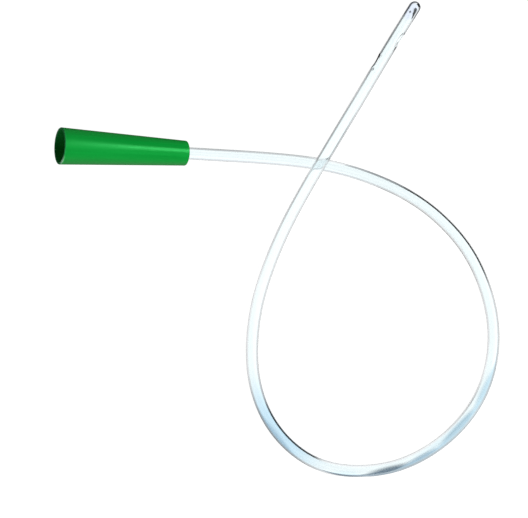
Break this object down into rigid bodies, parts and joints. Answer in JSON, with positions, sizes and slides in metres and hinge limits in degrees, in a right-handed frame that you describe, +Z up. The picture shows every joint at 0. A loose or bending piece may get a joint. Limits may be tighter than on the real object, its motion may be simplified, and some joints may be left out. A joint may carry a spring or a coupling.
{
  "type": "intermittent catheter",
  "caption": "Single-use clear PVC catheter tube with a closed round tip and side eyes, bonded into a tapered green drainage funnel, lying in one loose loop.",
  "frame": {"origin": "on the surface that the catheter lies on, under the middle of the funnel", "axes": "+X along the funnel from its mouth to its neck, level; +Z up; the loop of the tube lies towards +X and -Y"},
  "size_m": [0.159, 0.1611, 0.0121],
  "materials": {
    "funnel": "soft semi-gloss moulded PVC, translucent only at its thin edge",
    "tube": "clear glossy extruded PVC with a faint blue cast"
  },
  "bodies": {
    "root": {"funnel_connector": "funnel", "catheter_tube": "tube"}
  },
  "joints": []
}
